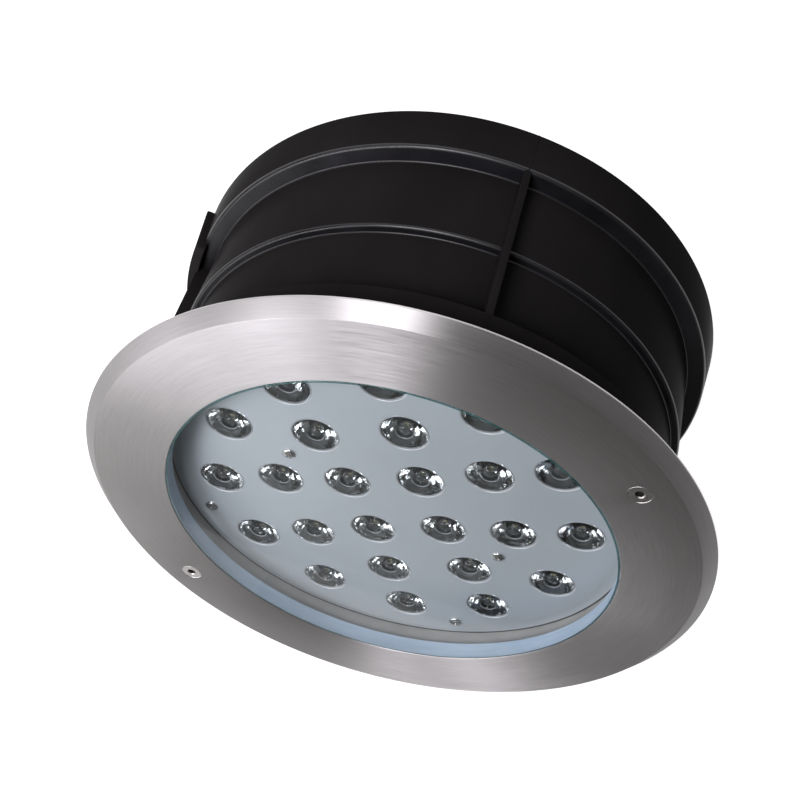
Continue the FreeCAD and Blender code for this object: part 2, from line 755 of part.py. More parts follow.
def all_parts():
    parts = {
        "steel_ring": steel_ring(),
        "glass_disc": glass_disc(),
        "glass_gasket": glass_gasket(),
        "lamp_housing": lamp_housing(),
        "clamp_screws": clamp_screws(),
        "led_plate": led_plate(),
        "plate_screws": plate_screws(),
        "plate_standoffs": plate_standoffs(),
        "lenses_outer": lens_group(outer_lens_spots()),
        "lenses_middle": lens_group(middle_lens_spots()),
        "lenses_inner": lens_group(inner_lens_spots()),
        "led_emitters": led_emitters(),
        "led_board": led_board(),
        "board_screws": board_screws(),
        "thermal_pad": thermal_pad(),
        "driver_box": driver_box(),
        "back_cover": back_cover(),
        "back_cover_gasket": back_cover_gasket(),
        "back_cover_screws": back_cover_screws(),
        "gland_body": gland_body(),
        "gland_washer": gland_washer(),
        "gland_locknut": gland_locknut(),
        "gland_seal": gland_seal(),
        "gland_nut": gland_nut(),
        "mounting_sleeve": mounting_sleeve(),
        "sleeve_inserts": sleeve_inserts(),
        "sleeve_seal": sleeve_seal(),
    }
    for number, angle in enumerate(ring_screw_angles, start=1):
        parts["ring_screw_%d" % number] = placed(ring_screw(), ring_screw_circle_radius, angle)
    return parts


os.makedirs("parts", exist_ok=True)
for name, shape in all_parts().items():
    shape.exportStep("parts/" + name + ".step")
    print(name, len(shape.Solids), "solids", round(shape.Volume), "mm3", "valid", shape.isValid())
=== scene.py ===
import bpy
import bmesh
import math
from mathutils import Matrix, Vector


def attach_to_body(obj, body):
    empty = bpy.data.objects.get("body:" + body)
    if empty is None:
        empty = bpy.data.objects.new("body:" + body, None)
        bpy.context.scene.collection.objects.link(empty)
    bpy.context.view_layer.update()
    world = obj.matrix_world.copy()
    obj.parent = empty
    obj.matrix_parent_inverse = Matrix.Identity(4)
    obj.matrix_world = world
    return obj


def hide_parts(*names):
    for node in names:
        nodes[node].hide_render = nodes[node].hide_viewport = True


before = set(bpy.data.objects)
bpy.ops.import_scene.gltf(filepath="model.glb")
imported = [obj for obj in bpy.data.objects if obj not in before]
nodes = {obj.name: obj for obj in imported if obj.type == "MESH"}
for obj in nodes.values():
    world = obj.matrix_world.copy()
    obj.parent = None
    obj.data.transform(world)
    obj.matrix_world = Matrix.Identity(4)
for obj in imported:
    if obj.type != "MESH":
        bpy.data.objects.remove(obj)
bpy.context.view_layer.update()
scene = bpy.context.scene
scene.view_settings.view_transform = "Standard"
mm = 0.001


# Node helpers

def newFinish(name, colour, rough=0.5, metal=0.0, specular=0.5):
    material = bpy.data.materials.new(name)
    material.use_nodes = True
    shader = material.node_tree.nodes["Principled BSDF"]
    shader.inputs["Base Color"].default_value = (*colour, 1)
    shader.inputs["Roughness"].default_value = rough
    shader.inputs["Metallic"].default_value = metal
    shader.inputs["Specular IOR Level"].default_value = specular
    return material, material.node_tree, shader


def addNode(tree, kind, **values):
    node = tree.nodes.new(kind)
    for key, value in values.items():
        if hasattr(node, key):
            setattr(node, key, value)
        else:
            node.inputs[key.replace("_", " ")].default_value = value
    return node


def objectSpot(tree, stretch=(1, 1, 1)):  # Object coordinates, stretched
    place = addNode(tree, "ShaderNodeTexCoord")
    mapping = addNode(tree, "ShaderNodeMapping")
    mapping.inputs["Scale"].default_value = stretch
    tree.links.new(place.outputs["Object"], mapping.inputs["Vector"])
    return mapping.outputs["Vector"]


def noise(tree, spot, scale, detail=3.0, rough=0.55):
    node = addNode(tree, "ShaderNodeTexNoise")
    node.inputs["Scale"].default_value = scale
    node.inputs["Detail"].default_value = detail
    node.inputs["Roughness"].default_value = rough
    tree.links.new(spot, node.inputs["Vector"])
    return node.outputs["Fac"]


def remap(tree, value, low, high, start=0.3, end=0.7):  # noise to a range of values
    node = addNode(tree, "ShaderNodeMapRange")
    for key, number in (("From Min", start), ("From Max", end), ("To Min", low), ("To Max", high)):
        node.inputs[key].default_value = number
    tree.links.new(value, node.inputs["Value"])
    return node.outputs["Result"]


def blendColours(tree, value, first, second, start=0.3, end=0.7):
    ramp = addNode(tree, "ShaderNodeValToRGB")
    ramp.color_ramp.elements[0].position = start
    ramp.color_ramp.elements[1].position = end
    ramp.color_ramp.elements[0].color = (*first, 1)
    ramp.color_ramp.elements[1].color = (*second, 1)
    tree.links.new(value, ramp.inputs["Fac"])
    return ramp.outputs["Color"]


def setColour(tree, shader, value, first, second, start=0.3, end=0.7):
    tree.links.new(blendColours(tree, value, first, second, start, end), shader.inputs["Base Color"])


def setRoughness(tree, shader, value, low, high, start=0.3, end=0.7):
    tree.links.new(remap(tree, value, low, high, start, end), shader.inputs["Roughness"])


def bump(tree, shader, height, strength, distance):
    node = addNode(tree, "ShaderNodeBump")
    node.inputs["Strength"].default_value = strength
    node.inputs["Distance"].default_value = distance
    tree.links.new(height, node.inputs["Height"])
    tree.links.new(node.outputs["Normal"], shader.inputs["Normal"])


def maths(tree, operation, first, second=None):
    node = addNode(tree, "ShaderNodeMath", operation=operation)
    for slot, value in enumerate((first, second)):
        if value is None:
            continue
        if isinstance(value, (int, float)):
            node.inputs[slot].default_value = value
        else:
            tree.links.new(value, node.inputs[slot])
    return node.outputs[0]


def latheSpot(tree, around, across):  # coordinates round the axis, so that grain follows the turning
    place = addNode(tree, "ShaderNodeTexCoord").outputs["Object"]
    split = addNode(tree, "ShaderNodeSeparateXYZ")
    tree.links.new(place, split.inputs[0])
    flat = addNode(tree, "ShaderNodeCombineXYZ")
    tree.links.new(split.outputs[0], flat.inputs[0])
    tree.links.new(split.outputs[1], flat.inputs[1])
    length = addNode(tree, "ShaderNodeVectorMath", operation="LENGTH")
    tree.links.new(flat.outputs[0], length.inputs[0])
    unit = addNode(tree, "ShaderNodeVectorMath", operation="NORMALIZE")
    tree.links.new(flat.outputs[0], unit.inputs[0])
    turn = addNode(tree, "ShaderNodeVectorMath", operation="SCALE")
    turn.inputs["Scale"].default_value = around
    tree.links.new(unit.outputs[0], turn.inputs[0])
    reach = maths(tree, "SUBTRACT", length.outputs["Value"], split.outputs[2])
    lift = addNode(tree, "ShaderNodeCombineXYZ")
    tree.links.new(maths(tree, "MULTIPLY", reach, across), lift.inputs[2])
    total = addNode(tree, "ShaderNodeVectorMath", operation="ADD")
    tree.links.new(turn.outputs[0], total.inputs[0])
    tree.links.new(lift.outputs[0], total.inputs[1])
    return total.outputs[0]


def facingShine(tree, least, most):  # share of light that clear surfaces send back
    weight = addNode(tree, "ShaderNodeLayerWeight")
    weight.inputs["Blend"].default_value = 0.5
    steep = maths(tree, "POWER", weight.outputs["Facing"], 5.0)
    return maths(tree, "ADD", maths(tree, "MULTIPLY", steep, most - least), least)


# Finishes

def brushedRingFinish(name, steel, worn):
    look = {"roughness": 0.44, "anisotropy": 0.92, "grain": 0.12}
    material, tree, shader = newFinish(name, steel, look["roughness"], 1.0)
    shader.inputs["Anisotropic"].default_value = look["anisotropy"]
    shader.inputs["Anisotropic Rotation"].default_value = 0.25
    fine = noise(tree, latheSpot(tree, 14.0, 7500.0), 1.0, 2.0)
    broad = noise(tree, latheSpot(tree, 5.0, 900.0), 1.0, 3.0)
    cloud = noise(tree, objectSpot(tree), 18.0, 3.0)
    grain = maths(tree, "ADD", maths(tree, "MULTIPLY", fine, 0.6), maths(tree, "MULTIPLY", broad, 0.4))
    setColour(tree, shader, grain, worn, steel, 0.36, 0.62)
    wear = maths(tree, "ADD", maths(tree, "MULTIPLY", grain, 0.7), maths(tree, "MULTIPLY", cloud, 0.3))
    setRoughness(tree, shader, wear, look["roughness"] - 0.05, look["roughness"] + 0.07, 0.35, 0.65)
    tangent = addNode(tree, "ShaderNodeTangent", direction_type="RADIAL", axis="Z")
    tree.links.new(tangent.outputs[0], shader.inputs["Tangent"])
    bump(tree, shader, grain, look["grain"], 0.00006)
    return material


def brightSteelFinish():
    look = {"steel": (0.70, 0.68, 0.665), "dark": (0.50, 0.48, 0.47)}
    material, tree, shader = newFinish("brightSteel", look["steel"], 0.24, 1.0)
    cloud = noise(tree, objectSpot(tree), 900.0, 3.0)
    setColour(tree, shader, cloud, look["dark"], look["steel"], 0.3, 0.6)
    setRoughness(tree, shader, cloud, 0.18, 0.34)
    bump(tree, shader, cloud, 0.12, 0.00005)
    return material


def clearGlassFinish():
    look = {"pane": (0.965, 0.985, 0.99), "least": 0.03, "most": 0.7}
    material, tree, shader = newFinish("clearGlass", (0.9, 0.95, 0.95), 0.03)
    tree.nodes.remove(shader)
    through = addNode(tree, "ShaderNodeBsdfTransparent")
    through.inputs["Color"].default_value = (*look["pane"], 1)
    gloss = addNode(tree, "ShaderNodeBsdfGlossy")
    smear = noise(tree, objectSpot(tree), 26.0, 4.0)
    setRoughness(tree, gloss, smear, 0.015, 0.05)
    mix = addNode(tree, "ShaderNodeMixShader")
    tree.links.new(facingShine(tree, look["least"], look["most"]), mix.inputs[0])
    tree.links.new(through.outputs[0], mix.inputs[1])
    tree.links.new(gloss.outputs[0], mix.inputs[2])
    tree.links.new(mix.outputs[0], tree.nodes["Material Output"].inputs["Surface"])
    return material


def tintedClear(name, tint, solid, deep, share, roughness):  # part clear, part solid
    material, tree, shader = newFinish(name, solid, roughness)
    cloud = noise(tree, latheSpot(tree, 5.0, 280.0), 1.0, 2.0)
    setColour(tree, shader, cloud, deep, solid)
    through = addNode(tree, "ShaderNodeBsdfTransparent")
    through.inputs["Color"].default_value = (*tint, 1)
    mix = addNode(tree, "ShaderNodeMixShader")
    mix.inputs[0].default_value = share
    tree.links.new(through.outputs[0], mix.inputs[1])
    tree.links.new(shader.outputs[0], mix.inputs[2])
    tree.links.new(mix.outputs[0], tree.nodes["Material Output"].inputs["Surface"])
    return material


def siliconeFinish():
    look = {"pale": (0.56, 0.68, 0.83), "deep": (0.48, 0.59, 0.72)}
    material, tree, shader = newFinish("paleSilicone", look["pale"], 0.6, 0.0, 0.3)
    cloud = noise(tree, latheSpot(tree, 3.0, 400.0), 1.0, 2.0)
    setColour(tree, shader, cloud, look["deep"], look["pale"])
    setRoughness(tree, shader, cloud, 0.52, 0.66)
    bump(tree, shader, cloud, 0.1, 0.0001)
    return material


def castFinish():
    look = {"metal": (0.30, 0.29, 0.28), "dark": (0.16, 0.155, 0.15)}
    material, tree, shader = newFinish("castAluminium", look["metal"], 0.5, 0.85)
    pits = noise(tree, objectSpot(tree), 420.0, 5.0, 0.65)
    streak = noise(tree, latheSpot(tree, 30.0, 160.0), 1.0, 3.0)
    both = maths(tree, "ADD", maths(tree, "MULTIPLY", pits, 0.45), maths(tree, "MULTIPLY", streak, 0.55))
    setColour(tree, shader, both, look["dark"], look["metal"], 0.35, 0.62)
    setRoughness(tree, shader, both, 0.4, 0.62)
    bump(tree, shader, pits, 0.35, 0.0003)
    return material


def plateFinish():
    look = {"pale": (0.575, 0.60, 0.635), "deep": (0.515, 0.54, 0.575)}
    material, tree, shader = newFinish("satinPlate", look["pale"], 0.42, 0.35)
    cloud = noise(tree, objectSpot(tree), 9.0, 3.0)
    fine = noise(tree, objectSpot(tree), 1600.0, 2.0)
    setColour(tree, shader, cloud, look["deep"], look["pale"])
    setRoughness(tree, shader, fine, 0.38, 0.48)
    bump(tree, shader, fine, 0.05, 0.00004)
    return material


def lensFinish():
    material, tree, shader = newFinish("lensClear", (0.97, 0.98, 0.98), 0.02)
    shader.inputs["Transmission Weight"].default_value = 1.0
    shader.inputs["IOR"].default_value = 1.49
    cloud = noise(tree, objectSpot(tree), 300.0, 2.0)
    setRoughness(tree, shader, cloud, 0.0, 0.05)
    bump(tree, shader, noise(tree, objectSpot(tree), 210.0, 2.0), 0.45, 0.0009)
    return material


def blackMouldingFinish():
    look = {"black": (0.0170, 0.0158, 0.0157), "toneAndSheen": (0.0260, 0.0238, 0.0234), "roughness": 0.3}
    material, tree, shader = newFinish("blackMoulding", look["black"], look["roughness"], 0.0, 0.002)
    grain = noise(tree, objectSpot(tree), 1500.0, 3.0)
    cloud = noise(tree, objectSpot(tree, (1, 1, 0.6)), 14.0, 4.0)
    # the lighter cloud is tone that differs at random, and painted sheen
    setColour(tree, shader, cloud, look["black"], look["toneAndSheen"])
    mixed = maths(tree, "ADD", maths(tree, "MULTIPLY", grain, 0.5), maths(tree, "MULTIPLY", cloud, 0.5))
    setRoughness(tree, shader, mixed, look["roughness"] - 0.06, look["roughness"] + 0.08)
    bump(tree, shader, grain, 0.12, 0.00008)
    return material


def plainFinish(name, colour, second, rough, metal=0.0, scale=200.0, bumpSize=0.00008, specular=0.5):
    material, tree, shader = newFinish(name, colour, rough, metal, specular)
    cloud = noise(tree, objectSpot(tree), scale, 4.0)
    setColour(tree, shader, cloud, second, colour)
    setRoughness(tree, shader, cloud, rough - 0.06, rough + 0.08)
    bump(tree, shader, cloud, 0.2, bumpSize)
    return material


finish = {
    "ring": brushedRingFinish("brushedRing", (0.610, 0.594, 0.604), (0.510, 0.494, 0.502)),
    # darker copy of the ring's steel for the bevel: painted shade
    "bevel": brushedRingFinish("shadedBrushedBevel", (0.455, 0.443, 0.448), (0.375, 0.363, 0.366)),
    "steel": brightSteelFinish(),
    "screwHead": plainFinish(
        "screwHead", (0.50, 0.485, 0.475), (0.40, 0.39, 0.38), 0.4, 1.0, 500.0, 0.00005),
    "glass": clearGlassFinish(),
    "glassEdge": tintedClear(
        "glassEdge", (0.80, 0.88, 0.95), (0.52, 0.63, 0.76), (0.44, 0.55, 0.68), 0.8, 0.5),
    "glassRim": tintedClear(
        "glassRim", (0.6, 0.85, 0.85), (0.05, 0.13, 0.125), (0.012, 0.035, 0.036), 0.75, 0.12),
    "glassFlange": tintedClear(
        "glassFlange", (0.90, 0.95, 0.97), (0.30, 0.45, 0.50), (0.2, 0.3, 0.34), 0.05, 0.3),
    "silicone": siliconeFinish(),
    "cast": castFinish(),
    "cavity": plainFinish(
        "cavityWall", (0.45, 0.42, 0.395), (0.37, 0.345, 0.325), 0.55, 0.25, 60.0, 0.00005, 0.3),
    "shade": plainFinish(
        "gapShade", (0.12, 0.11, 0.105), (0.08, 0.075, 0.07), 0.6, 0.2, 60.0, 0.00005, 0.2),
    "plate": plateFinish(),
    # lighter finish for the plate's rounded rim and lens hole chamfers: painted highlight
    "plateRimHighlight": plainFinish(
        "plateRimHighlight", (0.80, 0.76, 0.78), (0.70, 0.665, 0.685), 0.4, 0.2, 300.0, 0.00003),
    "lens": lensFinish(),
    # pale, part solid finish for the lens rim bead and well edge: painted highlight
    "lensBeadHighlight": tintedClear(
        "lensBeadHighlight", (0.85, 0.87, 0.9), (0.72, 0.74, 0.77), (0.60, 0.61, 0.64), 0.5, 0.3),
    "moulding": blackMouldingFinish(),
    # darker bluish copy of the moulding for up-facing ledges: painted shade and painted reflection, with more
    # gloss
    "shadedLedge": plainFinish(
        "mouldingLedgeShade", (0.012, 0.011, 0.0145), (0.008, 0.0075, 0.0095), 0.34, 0.0, 40.0, 0.00002, 0.55),
    "turned": plainFinish("turnedAluminium", (0.58, 0.58, 0.57), (0.46, 0.46, 0.45), 0.32, 1.0, 500.0),
    "board": plainFinish("boardDark", (0.22, 0.223, 0.23), (0.155, 0.157, 0.162), 0.35, 0.0, 300.0),
    "chip": plainFinish("ledYellow", (0.55, 0.49, 0.30), (0.46, 0.40, 0.24), 0.4, 0.0, 900.0),
    "pad": plainFinish("padGrey", (0.20, 0.21, 0.23), (0.15, 0.16, 0.17), 0.7, 0.0, 400.0),
    "driver": plainFinish("driverBlackAndSocketShade", (0.02, 0.02, 0.021), (0.012, 0.012, 0.013), 0.5, 0.0, 600.0),
    "rubber": plainFinish(
        "blackRubber", (0.018, 0.018, 0.018), (0.01, 0.01, 0.01), 0.68, 0.0, 700.0, 0.0001, 0.3),
    "nylon": plainFinish("glandNylon", (0.03, 0.03, 0.032), (0.02, 0.02, 0.021), 0.45, 0.0, 500.0),
    "brass": plainFinish("insertBrass", (0.55, 0.40, 0.16), (0.42, 0.30, 0.12), 0.3, 1.0, 500.0),
}
print("finishes made:", len(finish))


# Shape helpers

def roundedOutline(points, steps=4):  # (radius, height, corner round) in mm to points in metres
    result = []
    count = len(points)
    for index, point in enumerate(points):
        here = Vector(point[:2])
        size = point[2] if len(point) > 2 else 0.0
        if not size:
            result.append(here * mm)
            continue
        before = (Vector(points[index - 1][:2]) - here).normalized()
        after = (Vector(points[(index + 1) % count][:2]) - here).normalized()
        half = before.angle(after) / 2
        reach = size / math.tan(half)
        centre = here + (before + after).normalized() * (size / math.sin(half))
        start = here + before * reach - centre
        end = here + after * reach - centre
        whole = start.angle_signed(end)
        for step in range(steps + 1):
            turn = -whole * step / steps
            spot = Vector((start.x * math.cos(turn) - start.y * math.sin(turn),
                           start.x * math.sin(turn) + start.y * math.cos(turn)))
            result.append((centre + spot) * mm)
    return result


def builtMesh(name, build):
    mesh = bpy.data.meshes.new(name)
    build.to_mesh(mesh)
    build.free()
    return mesh


def latheMesh(name, outline, sides=288):  # closed outline turned about the axis
    build = bmesh.new()
    rings = []
    for side in range(sides):
        turn = math.tau * side / sides
        across, along = math.cos(turn), math.sin(turn)
        rings.append([build.verts.new((spot.x * across, spot.x * along, spot.y)) for spot in outline])
    for side in range(sides):
        here, there = rings[side], rings[(side + 1) % sides]
        for step in range(len(outline)):
            following = (step + 1) % len(outline)
            if outline[step].x < 1e-7 and outline[following].x < 1e-7:
                continue
            build.faces.new((here[step], there[step], there[following], here[following]))
    bmesh.ops.remove_doubles(build, verts=build.verts, dist=1e-7)
    bmesh.ops.dissolve_degenerate(build, edges=build.edges, dist=1e-7)
    bmesh.ops.recalc_face_normals(build, faces=build.faces)
    return builtMesh(name, build)


def coneMesh(name, outline, sides=64):  # the same from a list of (radius, height) in mm
    return latheMesh(name, [Vector(spot) * mm for spot in outline], sides)


def extrudedMesh(name, outline, thick, edge, segments=3):  # upright rib from its (radius, height) outline
    build = bmesh.new()
    sides = []
    for side in (-1, 1):
        level = side * thick / 2 * mm
        sides.append([build.verts.new((radius * mm, level, height * mm)) for radius, height in outline])
    build.faces.new(sides[0])
    build.faces.new(list(reversed(sides[1])))
    for step in range(len(outline)):
        after = (step + 1) % len(outline)
        build.faces.new((sides[0][step], sides[1][step], sides[1][after], sides[0][after]))
    bmesh.ops.recalc_face_normals(build, faces=build.faces)
    bmesh.ops.bevel(build, geom=list(build.edges), offset=edge * mm, segments=segments, profile=0.5,
                    affect="EDGES")
    return builtMesh(name, build)


def newPiece(name, mesh, material, smoothAngle=35.0):
    piece = bpy.data.objects.new(name, mesh)
    scene.collection.objects.link(piece)
    mesh.materials.clear()
    mesh.materials.append(material)
    softEdges(mesh, smoothAngle)
    return piece


def softEdges(mesh, angle=35.0):
    mesh.polygons.foreach_set("use_smooth", [True] * len(mesh.polygons))
    mesh.set_sharp_from_angle(angle=math.radians(angle))


def settle(piece):  # its modifiers become plain mesh
    bpy.context.view_layer.update()
    shape = piece.evaluated_get(bpy.context.evaluated_depsgraph_get())
    mesh = bpy.data.meshes.new_from_object(shape)
    piece.modifiers.clear()
    piece.data = mesh
    return piece


def carve(piece, cutters):  # cut these meshes out of a piece
    for number, cutter in enumerate(cutters):
        tool = bpy.data.objects.new("cutter%d" % number, cutter)
        scene.collection.objects.link(tool)
        modifier = piece.modifiers.new("carve", "BOOLEAN")
        modifier.operation = "DIFFERENCE"
        modifier.solver = "EXACT"
        modifier.object = tool
        settle(piece)
        bpy.data.objects.remove(tool)
    softEdges(piece.data)
    return piece


def onCircle(radius, angle):  # place on a circle about the axis
    turn = math.radians(angle)
    return Vector((radius * math.cos(turn), radius * math.sin(turn)))


def moved(mesh, radius, angle, height=0.0, spin=0.0):
    spot = onCircle(radius, angle).to_3d()
    spot.z = height
    mesh.transform(Matrix.Translation(spot) @ Matrix.Rotation(math.radians(spin), 4, "Z"))
    return mesh


def joinedMesh(name, meshes):
    build = bmesh.new()
    for mesh in meshes:
        build.from_mesh(mesh)
    return builtMesh(name, build)


def fromAxis(face):  # how far a face's middle is from the axis
    return math.hypot(face.center.x, face.center.y)


def attach(piece, body, slot, *replaced):
    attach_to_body(piece, body)
    if replaced:
        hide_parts(*replaced)
    return piece


# Geometry Nodes: copies of a piece set out evenly round the axis

def roundPatternTree():
    tree = bpy.data.node_groups.new("roundPattern", "GeometryNodeTree")
    face = tree.interface
    face.new_socket("Geometry", in_out="INPUT", socket_type="NodeSocketGeometry")
    face.new_socket("Count", in_out="INPUT", socket_type="NodeSocketInt")
    for label in ("Circle Radius", "Start Angle", "Loose Turn"):
        face.new_socket(label, in_out="INPUT", socket_type="NodeSocketFloat")
    face.new_socket("Seed", in_out="INPUT", socket_type="NodeSocketInt")
    face.new_socket("Finish", in_out="INPUT", socket_type="NodeSocketMaterial")
    face.new_socket("Geometry", in_out="OUTPUT", socket_type="NodeSocketGeometry")
    make, link = tree.nodes.new, tree.links.new
    given, result = make("NodeGroupInput"), make("NodeGroupOutput")

    def calc(operation, first, second=None):
        node = make("ShaderNodeMath")
        node.operation = operation
        for slot, value in enumerate((first, second)):
            if isinstance(value, (int, float)):
                node.inputs[slot].default_value = value
            elif value is not None:
                link(value, node.inputs[slot])
        return node.outputs[0]

    place = make("GeometryNodeInputIndex").outputs[0]
    step = calc("DIVIDE", math.tau, given.outputs["Count"])
    angle = calc("ADD", calc("MULTIPLY", place, step), given.outputs["Start Angle"])
    spot = make("ShaderNodeCombineXYZ")
    link(calc("MULTIPLY", calc("COSINE", angle), given.outputs["Circle Radius"]), spot.inputs[0])
    link(calc("MULTIPLY", calc("SINE", angle), given.outputs["Circle Radius"]), spot.inputs[1])
    points = make("GeometryNodePoints")
    link(given.outputs["Count"], points.inputs["Count"])
    link(spot.outputs[0], points.inputs["Position"])
    chance = make("FunctionNodeRandomValue")
    chance.data_type = "FLOAT"
    link(given.outputs["Seed"], chance.inputs["Seed"])
    loose = calc("MULTIPLY", chance.outputs[1], given.outputs["Loose Turn"])
    turn = make("ShaderNodeCombineXYZ")
    link(calc("ADD", angle, loose), turn.inputs[2])
    copies = make("GeometryNodeInstanceOnPoints")
    link(points.outputs[0], copies.inputs["Points"])
    link(given.outputs["Geometry"], copies.inputs["Instance"])
    link(turn.outputs[0], copies.inputs["Rotation"])
    solid = make("GeometryNodeRealizeInstances")
    link(copies.outputs[0], solid.inputs[0])
    coat = make("GeometryNodeSetMaterial")
    link(solid.outputs[0], coat.inputs["Geometry"])
    link(given.outputs["Finish"], coat.inputs["Material"])
    link(coat.outputs[0], result.inputs[0])
    return tree


patternTree = roundPatternTree()


def setRound(name, mesh, material, count, radius=0.0, start=0.0, loose=0.0, seed=1):
    piece = bpy.data.objects.new(name, mesh)
    scene.collection.objects.link(piece)
    modifier = piece.modifiers.new("roundPattern", "NODES")
    modifier.node_group = patternTree
    values = {"Count": count, "Circle Radius": radius, "Start Angle": math.radians(start),
              "Loose Turn": math.radians(loose), "Seed": seed, "Finish": material}
    for item in patternTree.interface.items_tree:
        if item.in_out == "INPUT" and item.name in values:
            modifier[item.identifier] = values[item.name]
    settle(piece)
    piece.data.materials.clear()
    piece.data.materials.append(material)
    softEdges(piece.data)
    return piece


# Brushed ring and its two screws

ringSize = {"outer": 164.95, "bore": 119.5, "bevelWidth": 6.7, "bevelDrop": 6.0, "rimDepth": 7.0,
            "rimWidth": 8.5, "plate": 5.0, "lip": 2.0, "seat": 129.8, "top": 155.0, "edge": 0.35}
screwSize = {"circle": 141.4, "angles": (60.0, 240.0), "spins": (17.0, 57.0), "head": 5.9, "shank": 3.0,
             "drop": 3.0, "length": 19.0, "edge": 0.25, "key": 4.0, "keyDepth": 2.4, "leadDepth": 0.55,
             "leadWide": 0.9, "gap": 0.05, "sinkGap": 0.12, "sinkDepth": 15.0}
top = ringSize["top"]
past = 0.06  # how far a cutter stands out of what it cuts


def ringOutline(size):
    bore, seat, outer, edge = size["bore"], size["seat"], size["outer"], size["edge"]
    lip, under, foot = top - size["lip"], top - size["plate"], top - size["rimDepth"]
    rimInner = outer - size["rimWidth"]
    return roundedOutline([
        (bore, lip), (seat, lip), (seat, under), (rimInner, under), (rimInner, foot), (outer, foot, 0.2),
        (outer, top - size["bevelDrop"], edge), (outer - size["bevelWidth"], top, edge), (bore, top, edge)])


def ringScrewMesh(size):
    end, flat, edge = top - size["length"], top - size["gap"], size["edge"]
    outline = roundedOutline([
        (0, end), (size["shank"] - 2 * edge, end), (size["shank"], end + 2 * edge),
        (size["shank"], top - size["drop"]), (size["head"], flat - edge), (size["head"] - edge, flat),
        (0, flat)])
    piece = bpy.data.objects.new("screwBlank", latheMesh("ringScrew", outline, 72))
    scene.collection.objects.link(piece)
    build = bmesh.new()
    corner = size["key"] / math.sqrt(3) * mm
    bmesh.ops.create_cone(build, cap_ends=True, segments=6, radius1=corner, radius2=corner,
                          depth=2 * size["keyDepth"] * mm)
    socket = moved(builtMesh("socket", build), 0.0, 0.0, top * mm)
    low, high = top - size["leadDepth"], top + 0.2
    half = size["key"] / 2
    lead = coneMesh("lead", [(0, low), (half, low), (half + size["leadWide"], high), (0, high)], 48)
    carve(piece, [socket, lead])
    result = piece.data
    bpy.data.objects.remove(piece)
    return result


def sinkMesh(size, angle):  # countersunk hole for a ring screw
    bore, low, high = size["shank"] + size["gap"], top - size["sinkDepth"], top + past
    return moved(coneMesh("sink", [
        (0, low), (bore, low), (bore, top - size["drop"] - size["gap"]),
        (size["head"] + size["sinkGap"], high), (0, high)]), size["circle"] * mm, angle)


ring = newPiece("brushedRing", latheMesh("brushedRing", ringOutline(ringSize), 360), finish["ring"])
carve(ring, [sinkMesh(screwSize, angle) for angle in screwSize["angles"]])
# the sloped bevel faces take the darker copy of the brushed steel: painted shade
ring.data.materials.append(finish["bevel"])
bevelInner = (ringSize["outer"] - ringSize["bevelWidth"]) * mm
for face in ring.data.polygons:
    if 0.3 < face.normal.z < 0.97 and fromAxis(face) > bevelInner:
        face.material_index = 1
attach(ring, "lamp", "brushed_ring", "steel_ring")
for number, angle in enumerate(screwSize["angles"]):
    circle, spin = screwSize["circle"] * mm, screwSize["spins"][number]
    mesh = moved(ringScrewMesh(screwSize), circle, angle, 0.0, spin)
    screw = newPiece("ringScrew%d" % (number + 1), mesh, finish["screwHead"])
    screw.data.materials.append(finish["driver"])
    for face in screw.data.polygons:  # inside of the hexagon socket takes the black driver finish: painted shade
        inside = math.dist(face.center[:2], onCircle(circle, angle)) < screwSize["key"] * 0.6 * mm
        if inside and (top - screwSize["keyDepth"] - 0.1) * mm < face.center.z < (top - 0.6) * mm:
            face.material_index = 1
    body, node = ("ring_screw_a", "ring_screw_b")[number], "ring_screw_%d" % (number + 1)
    attach(screw, body, "bright_steel", node)
print("ring and screws made")


# Front glass and its seal

glassSize = {"front": 119.2, "flange": 128.5, "thickness": 9.7, "lip": 2.0, "gap": 0.05, "edge": 0.5,
             "rimBand": 0.95, "rimHeight": 0.9}


def glassPiece(size):  # clear disc with a bluish side, and its flange
    under, high, front = top - size["thickness"], top - size["gap"], size["front"]
    bandInner, bandLow = front - size["rimBand"], top - size["rimHeight"]
    disc = latheMesh("disc", roundedOutline([
        (0, under), (front, under), (front, high, size["edge"]), (bandInner, high), (0, high)]), 288)
    inner = front + 0.02
    flange = latheMesh("flange", roundedOutline([
        (inner, under), (size["flange"], under, size["edge"]), (size["flange"], top - size["lip"], 0.3),
        (inner, top - size["lip"])]), 288)
    piece = newPiece("frontGlass", joinedMesh("frontGlass", [disc, flange]), finish["glass"])
    for name in ("glassEdge", "glassRim", "glassFlange"):
        piece.data.materials.append(finish[name])
    for face in piece.data.polygons:
        if fromAxis(face) > (front + 0.01) * mm:
            face.material_index = 3
        elif abs(face.normal.z) < 0.5 and face.center.z < (top - size["edge"] - 0.1) * mm:
            face.material_index = 1
        elif face.center.z > bandLow * mm and fromAxis(face) > bandInner * mm:
            face.material_index = 2
    return piece


attach(glassPiece(glassSize), "lamp", "clear_glass", "glass_disc")
sealSize = {"inner": 125.0, "outer": 129.5, "wall": 128.6, "top": 2.0, "foot": 11.7, "step": 9.75}


def sealOutline(size):
    high, foot, step = top - size["top"], top - size["foot"], top - size["step"]
    return roundedOutline([
        (size["inner"], foot, 0.3), (size["outer"], foot), (size["outer"], high), (size["wall"], high),
        (size["wall"], step), (size["inner"], step, 0.4)])


seal = newPiece("glassSeal", latheMesh("glassSeal", sealOutline(sealSize)), finish["silicone"])
attach(seal, "lamp", "pale_silicone", "glass_gasket")
print("glass made")


# Cast housing with its fins and driver chamber

